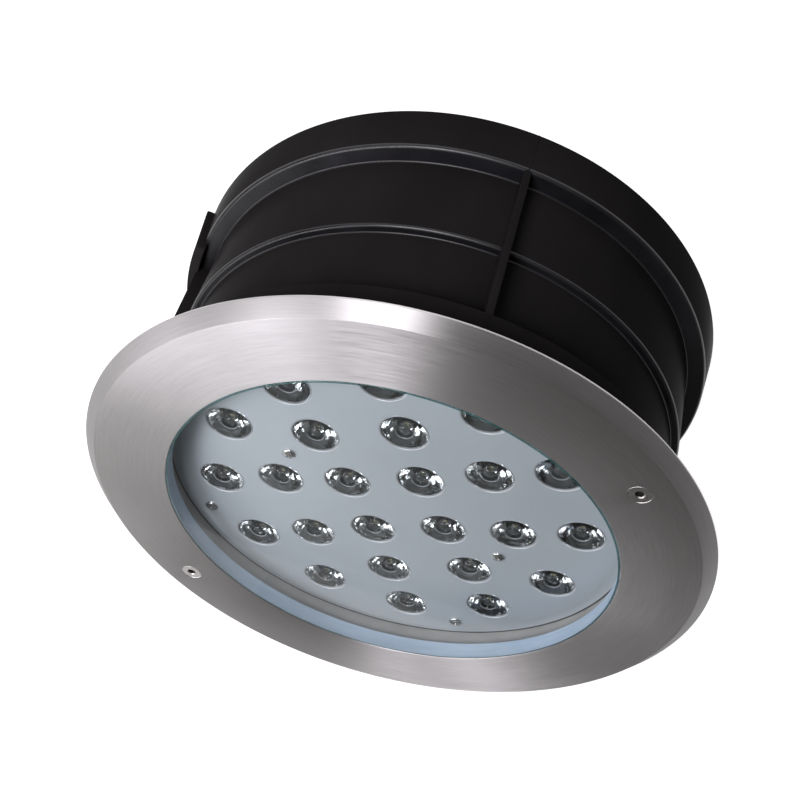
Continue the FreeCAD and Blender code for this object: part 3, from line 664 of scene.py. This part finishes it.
housingSize = {"flange": 153.0, "flangeTop": 149.95, "flangeUnder": 145.0, "seat": 129.8, "seatTop": 143.3,
               "cavity": 125.0, "shadeTop": 134.3, "floorTop": 117.7, "floorUnder": 112.7, "wall": 129.5,
               "collar": 131.8, "collarHeight": 6.0, "collarSlope": 2.3, "cableHole": 6.0,
               "chamber": 60.0, "chamberBore": 55.0, "chamberEnd": 55.7, "chamberFlange": 68.0,
               "chamberFlangeHeight": 8.0, "fins": 24, "finThick": 2.6, "finHeight": 42.0, "finTaper": 13.4,
               "finEdge": 0.6}


def housingShell(size):
    collarLow = size["flangeUnder"] - size["collarHeight"]
    end, flangeHigh = size["chamberEnd"], size["chamberEnd"] + size["chamberFlangeHeight"]
    under, hole, seat, cavity = size["floorUnder"], size["cableHole"], size["seat"], size["cavity"]
    return latheMesh("castHousing", roundedOutline([
        (hole, under), (size["chamberBore"], under, 1.0), (size["chamberBore"], end, 0.3),
        (size["chamberFlange"], end, 0.4), (size["chamberFlange"], flangeHigh, 0.8),
        (size["chamber"], flangeHigh, 1.5), (size["chamber"], under, 2.0), (size["wall"], under, 2.0),
        (size["wall"], collarLow - size["collarSlope"], 1.0), (size["collar"], collarLow, 1.0),
        (size["collar"], size["flangeUnder"], 0.6), (size["flange"], size["flangeUnder"], 0.5),
        (size["flange"], size["flangeTop"], 0.5), (seat, size["flangeTop"]), (seat, size["seatTop"]),
        (cavity, size["seatTop"], 0.4), (cavity, size["shadeTop"]), (cavity, size["floorTop"], 1.0),
        (hole, size["floorTop"])]), 288)


def finMesh(size):
    low, high = size["floorUnder"] - size["finHeight"], size["floorUnder"] + 1.0
    shoulder = size["floorUnder"] - size["finHeight"] / 3
    inner, tip = size["chamberBore"] + 2.5, size["wall"] - size["finThick"]
    outline = [(inner, high), (inner, low), (tip - size["finTaper"], low), (tip, shoulder), (tip, high)]
    return extrudedMesh("coolingFin", outline, size["finThick"], size["finEdge"], 2)


housing = newPiece("castHousing", housingShell(housingSize), finish["cast"])
housing.data.materials.append(finish["cavity"])
housing.data.materials.append(finish["shade"])
for face in housing.data.polygons:
    if fromAxis(face) < (housingSize["seat"] + 0.5) * mm and face.center.z > housingSize["floorTop"] * mm:
        face.material_index = 1 if face.center.z > housingSize["shadeTop"] * mm else 2
attach(housing, "lamp", "cast_aluminium", "lamp_housing")
fins = setRound("coolingFins", finMesh(housingSize), finish["cast"], housingSize["fins"])
attach(fins, "lamp", "cast_aluminium")
print("housing made")


# Lenses

lensSize = {"radius": 12.6, "top": 133.8, "rim": 1.6, "rimWidth": 0.9, "height": 12.0, "base": 5.0,
            "foot": 1.6, "belly": 0.6, "wellRadius": 4.3, "wellDepth": 2.6, "wellEdge": 0.3,
            "domeRadius": 3.5, "domeRise": 2.2, "bore": 3.4, "boreDepth": 3.8, "roofRise": 1.5,
            "bead": 0.38, "beadFoot": 0.2, "beadReach": 0.35}
lensRings = {"outer": (12, 97.608, 0.0), "middle": (8, 63.196, 22.5), "inner": (4, 29.0085, 0.0)}


def curvedStretch(first, middle, last, steps):  # points on a curve through middle
    control = 2 * Vector(middle) - (Vector(first) + Vector(last)) / 2
    spots = []
    for step in range(1, steps):
        share = step / steps
        rest = 1 - share
        spots.append(Vector(first) * rest ** 2 + control * (2 * share * rest) + Vector(last) * share ** 2)
    return spots


def crownStretch(radius, foot, rise, steps):  # points of a quarter crown, from its foot to its peak
    turns = [math.pi / 2 * step / steps for step in range(steps + 1)]
    return [Vector((radius * math.cos(turn), foot + rise * math.sin(turn))) for turn in turns]


def lensMesh(size):
    high, low = size["top"], size["top"] - size["height"]
    wall, under, shoulder = size["radius"] - size["rimWidth"], high - size["rim"], high - size["beadFoot"]
    belly = (size["base"] + (wall - size["base"]) * size["belly"], (low + under) / 2)
    outline = [(size["radius"], under), (size["radius"], shoulder)]
    for turn in (0.5, 1.0, 1.5, 2.1, 2.7):  # bead
        along, rise = size["bead"] * (math.cos(turn) - 1), size["bead"] * 1.4 * math.sin(turn)
        outline.append((size["radius"] + along, shoulder + rise))
    outline += [(size["radius"] - 2 * size["bead"], shoulder), (size["wellRadius"] + size["wellEdge"], high),
                (size["wellRadius"], high - size["wellEdge"])]
    outline += crownStretch(size["domeRadius"], high - size["wellDepth"], size["domeRise"], 8)
    outline += reversed(crownStretch(size["bore"], low + size["boreDepth"], size["roofRise"], 6))
    outline += [(size["bore"], low - size["foot"]), (size["base"], low - size["foot"]), (size["base"], low)]
    outline += curvedStretch((size["base"], low), belly, (wall, under), 10) + [(wall, under)]
    return coneMesh("lens", outline)


def spotsOf(count, circle, start):  # places of a round pattern, as radius and angle
    return [(circle, start + 360 * number / count) for number in range(count)]


for ringName, pattern in lensRings.items():
    count, circle, start = pattern
    lenses = setRound(ringName + "Lenses", lensMesh(lensSize), finish["lens"], count, circle * mm, start)
    # the rim bead and the well's edge of each lens take the pale finish: painted highlight
    lenses.data.materials.append(finish["lensBeadHighlight"])
    middles = [onCircle(radius * mm, angle) for radius, angle in spotsOf(*pattern)]
    rimInner, rimLow = lensSize["radius"] - 2 * lensSize["bead"], lensSize["top"] - lensSize["beadReach"]
    wellInner, wellOuter = lensSize["wellRadius"] - 0.05, lensSize["wellRadius"] + lensSize["beadReach"]
    for face in lenses.data.polygons:
        nearest = min(math.dist(face.center[:2], middle) for middle in middles) / mm
        if face.center.z > rimLow * mm and (nearest > rimInner or wellInner < nearest < wellOuter):
            face.material_index = 1
    attach(lenses, "lamp", "lens_clear", "lenses_" + ringName)
print("lenses made")


# Satin plate with a hole for each lens

plateSize = {"radius": 124.5, "top": 134.1, "thick": 1.5, "rim": 0.5, "gap": 0.12, "chamfer": 0.2,
             "screwHole": 1.55}
plateScrewRings = {"inner": (2, 63.196, 0.0), "outer": (4, 113.0, 45.0)}


def platePiece(size):
    low, high, hole = size["top"] - size["thick"], size["top"], lensSize["radius"] + size["gap"]
    outline = [(0, low), (size["radius"], low, 0.2), (size["radius"], high, size["rim"]), (0, high)]
    piece = newPiece("satinPlate", latheMesh("satinPlate", roundedOutline(outline)), finish["plate"])
    lensHole = [(0, low - 1), (hole, low - 1), (hole, high - size["chamfer"]),
                (hole + size["chamfer"] + 0.1, high + 0.1), (0, high + 0.1)]
    screwHole = [(0, low - 1), (size["screwHole"], low - 1), (size["screwHole"], high + 1), (0, high + 1)]
    cutters = []
    for rings, outline, sides in ((lensRings, lensHole, 64), (plateScrewRings, screwHole, 24)):
        for pattern in rings.values():
            for radius, angle in spotsOf(*pattern):
                cutters.append(moved(coneMesh("hole", outline, sides), radius * mm, angle))
    carve(piece, [joinedMesh("holes", cutters)])
    # the rim round and the hole chamfers take the lighter finish: painted highlight
    piece.data.materials.append(finish["plateRimHighlight"])
    for face in piece.data.polygons:
        if 0.1 < face.normal.z < 0.98 and face.center.z > (high - size["rim"]) * mm:
            face.material_index = 1
        elif abs(face.normal.z) > 0.99:  # the flat faces take no shading from the rounds
            face.use_smooth = False
    return piece


attach(platePiece(plateSize), "lamp", "satin_plate", "led_plate")
print("plate made")


# Small screws, all by the round pattern

plateScrewSize = {"head": 3.7, "rise": 1.5, "shank": 1.5, "length": 8.0, "slot": 0.8}
coverScrewSize = {"head": 3.6, "rise": 2.2, "shank": 2.0, "length": 10.0, "slot": 0.7}
coverScrewRing = {"count": 6, "circle": 62.5, "seat": 50.5}
looseTurn = 80.0  # each head is left at its own angle


def roundHeadMesh(size, seat, faceUp=True):  # cross-slotted screw on its seat
    head, rise, shank = size["head"], size["rise"], size["shank"]
    outline = [(0, -size["length"]), (shank, -size["length"]), (shank, 0), (head, 0), (head, rise * 0.25)]
    for step in range(1, 6):
        turn = math.pi / 2 * step / 6
        outline.append((head * math.cos(turn), rise * (0.25 + 0.75 * math.sin(turn))))
    piece = bpy.data.objects.new("headBlank", coneMesh("roundHead", outline + [(0, rise)], 32))
    scene.collection.objects.link(piece)
    cutters = []
    for spin in (0, 90):
        build = bmesh.new()
        bmesh.ops.create_cube(build, size=1.0)
        bar = builtMesh("bar", build)
        scaled = Matrix.Diagonal((head * 1.15 * mm, size["slot"] * mm, rise * 1.3 * mm, 1))
        turned = Matrix.Rotation(math.radians(spin), 4, "Z") @ scaled
        bar.transform(Matrix.Translation((0, 0, rise * mm)) @ turned)
        cutters.append(bar)
    carve(piece, cutters)
    result = piece.data
    bpy.data.objects.remove(piece)
    if not faceUp:
        result.transform(Matrix.Rotation(math.pi, 4, "X"))
    result.transform(Matrix.Translation((0, 0, seat * mm)))
    return result


def joinedPiece(name, pieces, material):
    mesh = joinedMesh(name, [piece.data for piece in pieces])
    for piece in pieces:
        bpy.data.objects.remove(piece)
    return newPiece(name, mesh, material)


sets = []
for (count, circle, start), seed in zip(plateScrewRings.values(), (3, 5)):
    head = roundHeadMesh(plateScrewSize, plateSize["top"])
    sets.append(setRound("screwSet", head, finish["steel"], count, circle * mm, start, looseTurn, seed))
plateScrews = joinedPiece("plateScrews", sets, finish["steel"])
attach(plateScrews, "lamp", "bright_steel", "plate_screws")
coverHead = roundHeadMesh(coverScrewSize, coverScrewRing["seat"], False)
coverScrews = setRound("coverScrews", coverHead, finish["steel"], coverScrewRing["count"],
                       coverScrewRing["circle"] * mm, 0.0, looseTurn, 7)
attach(coverScrews, "lamp", "bright_steel", "back_cover_screws")
print("small screws made")


# Moulded sleeve

sleeveSize = {"top": 143.5, "flange": 152.0, "flangeThick": 3.0, "wall": 3.0, "skirt": 147.8,
              "skirtBottom": 122.0, "upper": 136.0, "step": 73.8, "lower": 140.6, "bandTop": 25.4,
              "bandTopRadius": 150.2, "bandBottomRadius": 153.1, "edge": 2.0, "ribs": 4, "ribStart": 11.0,
              "ribThick": 3.6, "ribEdge": 0.35, "boss": 5.6, "bossBore": 3.2, "bossBottom": 132.0,
              "bossTop": 142.0, "partingProud": 0.25, "partingWide": 0.7, "partingEdge": 0.12}


def sleeveShell(size):
    wall, high = size["wall"], size["top"]
    under, step, band = high - size["flangeThick"], size["step"], size["bandTop"]
    upper, lower, skirt, skirtLow = size["upper"], size["lower"], size["skirt"], size["skirtBottom"]
    flange = size["flange"]
    return latheMesh("mountingSleeve", roundedOutline([
        (size["bandBottomRadius"] - wall, 0, 0.5), (size["bandBottomRadius"], 0, 0.6),
        (size["bandTopRadius"], band, size["edge"]), (lower, band, 1.0), (lower, step, size["edge"]),
        (upper, step, 0.9), (upper, under, 0.8), (skirt - wall, under), (skirt - wall, skirtLow, 0.5),
        (skirt, skirtLow, 0.7), (skirt, under, 0.6), (flange, under, 0.5), (flange, high, 0.5),
        (upper - wall, high, 0.5), (upper - wall, step - wall, 0.8), (lower - wall, step - wall, 0.8),
        (lower - wall, band - wall, 1.0), (size["bandTopRadius"] - wall, band - wall, 1.0)], 5), 360)


def ribMesh(size):  # upright rib with the parting lines above and below it
    inUpper, inLower, step = size["upper"] - 1.5, size["lower"] - 1.5, size["step"] - 1.5
    band, bandHigh, bandLow = size["bandTop"], size["bandTopRadius"], size["bandBottomRadius"]
    skirt, skirtLow, under = size["skirt"], size["skirtBottom"], size["top"] - size["flangeThick"]
    proud, wide, edge = size["partingProud"], size["partingWide"], size["partingEdge"]
    web = extrudedMesh("sleeveRib", [
        (inLower, band - 1.0), (bandHigh - 0.4, band - 1.0), (skirt - 0.1, skirtLow + 0.5),
        (inUpper, skirtLow + 0.5), (inUpper, step), (inLower, step)], size["ribThick"], size["ribEdge"])
    bandLine = extrudedMesh("bandLine", [
        (bandLow - 1.0, 0.5), (bandLow + proud - 0.05, 0.5), (bandHigh + proud, band - 0.8),
        (bandHigh - 1.0, band - 0.8)], wide, edge)
    skirtLine = extrudedMesh("skirtLine", [
        (skirt - 1.0, skirtLow + 0.6), (skirt + proud, skirtLow + 0.6), (skirt + proud, under - 0.3),
        (skirt - 1.0, under - 0.3)], wide, edge)
    return joinedMesh("sleeveRibs", [web, bandLine, skirtLine])


padSize = {"angle": 11.0, "width": 42.0, "height": 31.0, "proud": 4.3, "round": 3.0, "edge": 0.9,
           "groove": 11.0, "grooveHeight": 14.0, "grooveWide": 1.6, "grooveDeep": 3.2}


def cornerArc(across, height, radius, start):  # quarter round from this quarter turn on
    turns = [math.pi / 2 * (start + step / 6) for step in range(7)]
    return [(across + radius * math.cos(turn), height + radius * math.sin(turn)) for turn in turns]


def padMesh(size, sleeve):
    half, high, corner = size["width"] / 2, size["height"], size["round"]
    rim = [(-half, 0.0), (half, 0.0)]
    rim += cornerArc(half - corner, high - corner, corner, 0)
    rim += cornerArc(corner - half, high - corner, corner, 1)
    build = bmesh.new()
    front = build.faces.new([build.verts.new((0, y * mm, z * mm)) for y, z in rim])
    back = bmesh.ops.extrude_face_region(build, geom=[front])
    for vert in (part for part in back["geom"] if isinstance(part, bmesh.types.BMVert)):
        vert.co.x = 1.0
    wide = [edge for edge in build.edges if abs(edge.verts[0].co.y - edge.verts[1].co.y) > 20 * mm]
    bmesh.ops.subdivide_edges(build, edges=wide, cuts=11, use_grid_fill=True)
    slope = (sleeve["bandBottomRadius"] - sleeve["bandTopRadius"]) / sleeve["bandTop"]
    for vert in build.verts:
        outside = sleeve["bandBottomRadius"] - slope * vert.co.z / mm + size["proud"]
        reach = outside if vert.co.x > 0.5 else sleeve["bandTopRadius"] - 2.0
        along = vert.co.y / (reach * mm)
        vert.co = Vector((reach * mm * math.cos(along), reach * mm * math.sin(along), vert.co.z))
    bmesh.ops.recalc_face_normals(build, faces=build.faces)
    return builtMesh("cablePad", build)


def padPiece(size, sleeve):
    piece = newPiece("cablePad", padMesh(size, sleeve), finish["moulding"])
    bevel = piece.modifiers.new("edge", "BEVEL")
    bevel.width = size["edge"] * mm
    bevel.segments = 3
    bevel.limit_method = "ANGLE"
    bevel.angle_limit = math.radians(50)
    settle(piece)
    depth = sleeve["bandBottomRadius"] + size["proud"] - size["grooveDeep"]
    inner, outer, long = size["groove"] - size["grooveWide"], size["groove"], 12
    cutter = coneMesh("groove", [(inner, 0), (outer, 0), (outer, long), (inner, long)])
    lying = Matrix.Rotation(math.pi / 2, 4, "Y")
    cutter.transform(Matrix.Translation((depth * mm, 0, size["grooveHeight"] * mm)) @ lying)
    carve(piece, [cutter])
    piece.data.transform(Matrix.Rotation(math.radians(size["angle"]), 4, "Z"))
    return piece


sleeve = newPiece("mountingSleeve", sleeveShell(sleeveSize), finish["moulding"])
# up-facing ledges and their rounds take the darker bluish copy: painted shade and painted reflection; its
# gloss gives the highlight lines
sleeve.data.materials.append(finish["shadedLedge"])
for face in sleeve.data.polygons:
    outside = fromAxis(face) > sleeveSize["upper"] * mm
    if outside and face.normal.z > 0.2 and face.center.z < (sleeveSize["step"] + 1) * mm:
        face.material_index = 1
attach(sleeve, "sleeve", "sleeve_black", "mounting_sleeve")
ribs = setRound("sleeveRibs", ribMesh(sleeveSize), finish["moulding"], sleeveSize["ribs"], 0.0,
                sleeveSize["ribStart"])
attach(ribs, "sleeve", "sleeve_black")
attach(padPiece(padSize, sleeveSize), "sleeve", "sleeve_black")
bore, foot, head = sleeveSize["bossBore"], sleeveSize["bossBottom"], sleeveSize["bossTop"]
boss = coneMesh("boss", [
    (bore, foot + 2), (bore, foot), (sleeveSize["boss"], foot), (sleeveSize["boss"], head), (bore, head)], 40)
bosses = setRound("screwBosses", boss, finish["moulding"], 2, screwSize["circle"] * mm, 60.0)
attach(bosses, "sleeve", "sleeve_black")
print("sleeve made")


# Finishes of the CAD pieces that stay

keptFinish = {
    "clamp_screws": "steel", "plate_standoffs": "turned", "led_emitters": "chip",
    "led_board": "board", "board_screws": "steel", "thermal_pad": "pad", "driver_box": "driver",
    "back_cover": "cast", "back_cover_gasket": "rubber", "gland_body": "nylon", "gland_washer": "rubber",
    "gland_locknut": "nylon", "gland_seal": "rubber", "gland_nut": "nylon", "sleeve_inserts": "brass",
    "sleeve_seal": "rubber"}
for nodeName, finishName in keptFinish.items():
    slots = nodes[nodeName].data.materials
    if not slots:
        slots.append(finish[finishName])
    for index in range(len(slots)):
        slots[index] = finish[finishName]
print("kept pieces finished:", len(keptFinish))


# Floor, light and camera

def paperMaterial():
    look = {"paper": 0.3, "glow": 0.97}
    material, tree, shader = newFinish("paper", (look["paper"],) * 3, 0.9, 0.0, 0.1)
    path = addNode(tree, "ShaderNodeLightPath")
    seen = maths(tree, "MAXIMUM", path.outputs["Is Camera Ray"], path.outputs["Is Glossy Ray"])
    seen = maths(tree, "MAXIMUM", seen, path.outputs["Is Transmission Ray"])
    shader.inputs["Emission Color"].default_value = (1, 1, 1, 1)
    tree.links.new(maths(tree, "MULTIPLY", seen, look["glow"]), shader.inputs["Emission Strength"])
    return material


def paperSweep(reach, rise):  # flat floor that curves up at its far rim
    spots = [(reach, 0), (reach * 1.08, rise * 0.08), (reach * 1.15, rise * 0.35), (reach * 1.2, rise)]
    circle = [(math.cos(math.tau * side / 96), math.sin(math.tau * side / 96)) for side in range(96)]
    build = bmesh.new()
    rings = []
    for radius, height in spots:
        rings.append([build.verts.new((radius * x, radius * y, height)) for x, y in circle])
    build.faces.new(rings[0])
    for inner, outer in zip(rings, rings[1:]):
        for side in range(len(circle)):
            after = (side + 1) % len(circle)
            build.faces.new((inner[side], outer[side], outer[after], inner[after]))
    mesh = builtMesh("paperSweep", build)
    mesh.materials.append(paperMaterial())
    return mesh


floorSize = {"reach": 5.0, "rise": 1.1, "below": 0.0002}
floor = bpy.data.objects.new("paperSweep", paperSweep(floorSize["reach"], floorSize["rise"]))
floor.location.z = -floorSize["below"]
scene.collection.objects.link(floor)


def studioWorld():
    look = {"ambient": 0.085, "tint": (1.0, 0.95, 0.90)}
    world = bpy.data.worlds.new("studioWorld")
    world.use_nodes = True
    background = world.node_tree.nodes["Background"]
    background.inputs["Color"].default_value = (*look["tint"], 1)
    background.inputs["Strength"].default_value = look["ambient"]
    scene.world = world


def softLamp(name, azimuth, elevation, distance, width, height, power, colour=(1, 1, 1), spread=180.0):
    data = bpy.data.lights.new(name, "AREA")
    data.shape = "RECTANGLE"
    data.size, data.size_y = width, height
    data.energy = power
    data.color = colour
    data.spread = math.radians(spread)
    lamp = bpy.data.objects.new(name, data)
    turn, lift = math.radians(azimuth), math.radians(elevation)
    away = Vector((math.cos(turn) * math.cos(lift), math.sin(turn) * math.cos(lift), math.sin(lift)))
    lamp.location = Vector((0, 0, 0.1)) + away * distance
    lamp.rotation_euler = away.to_track_quat("Z", "Y").to_euler()
    scene.collection.objects.link(lamp)
    return lamp


studioWorld()
lilac, warm = (0.985, 0.965, 1.0), (1.0, 0.985, 0.97)
lampPlan = {  # azimuth, elevation, distance, width, height, power, colour, spread
    "keySoftbox": (5, 58, 1.2, 0.4, 0.4, 5.0, lilac),
    "frontSoftbox": (-50, 45, 1.2, 0.4, 0.4, 8.4, lilac),
    "nearSoftbox": (25, 42, 0.45, 0.3, 0.3, 0.7, lilac),
    "lowStrip": (68, 19, 0.55, 0.5, 0.26, 0.2, warm),
    "backStrip": (98, 18, 0.55, 0.5, 0.26, 0.3),
    "backPanel": (85, 33, 1.0, 0.95, 0.95, 0.11, (1, 1, 1), 60)}
for lampName, plan in lampPlan.items():
    softLamp(lampName, *plan)

cameraFit = {"place": (0.146526, -0.485158, 0.470437), "right": (-0.869955, -0.432052, -0.237718),
             "up": (0.449127, -0.495135, -0.743725), "back": (0.203625, -0.753772, 0.624791), "lens": 51.74}
camera = bpy.data.objects.new("photoCamera", bpy.data.cameras.new("photoCamera"))
camera.data.lens = cameraFit["lens"]
camera.data.sensor_width = 36.0
camera.data.clip_start = 0.01
axes = Matrix((cameraFit["right"], cameraFit["up"], cameraFit["back"])).transposed()
camera.matrix_world = Matrix.Translation(cameraFit["place"]) @ axes.to_4x4()
scene.collection.objects.link(camera)
scene.camera = camera
print("stage made")
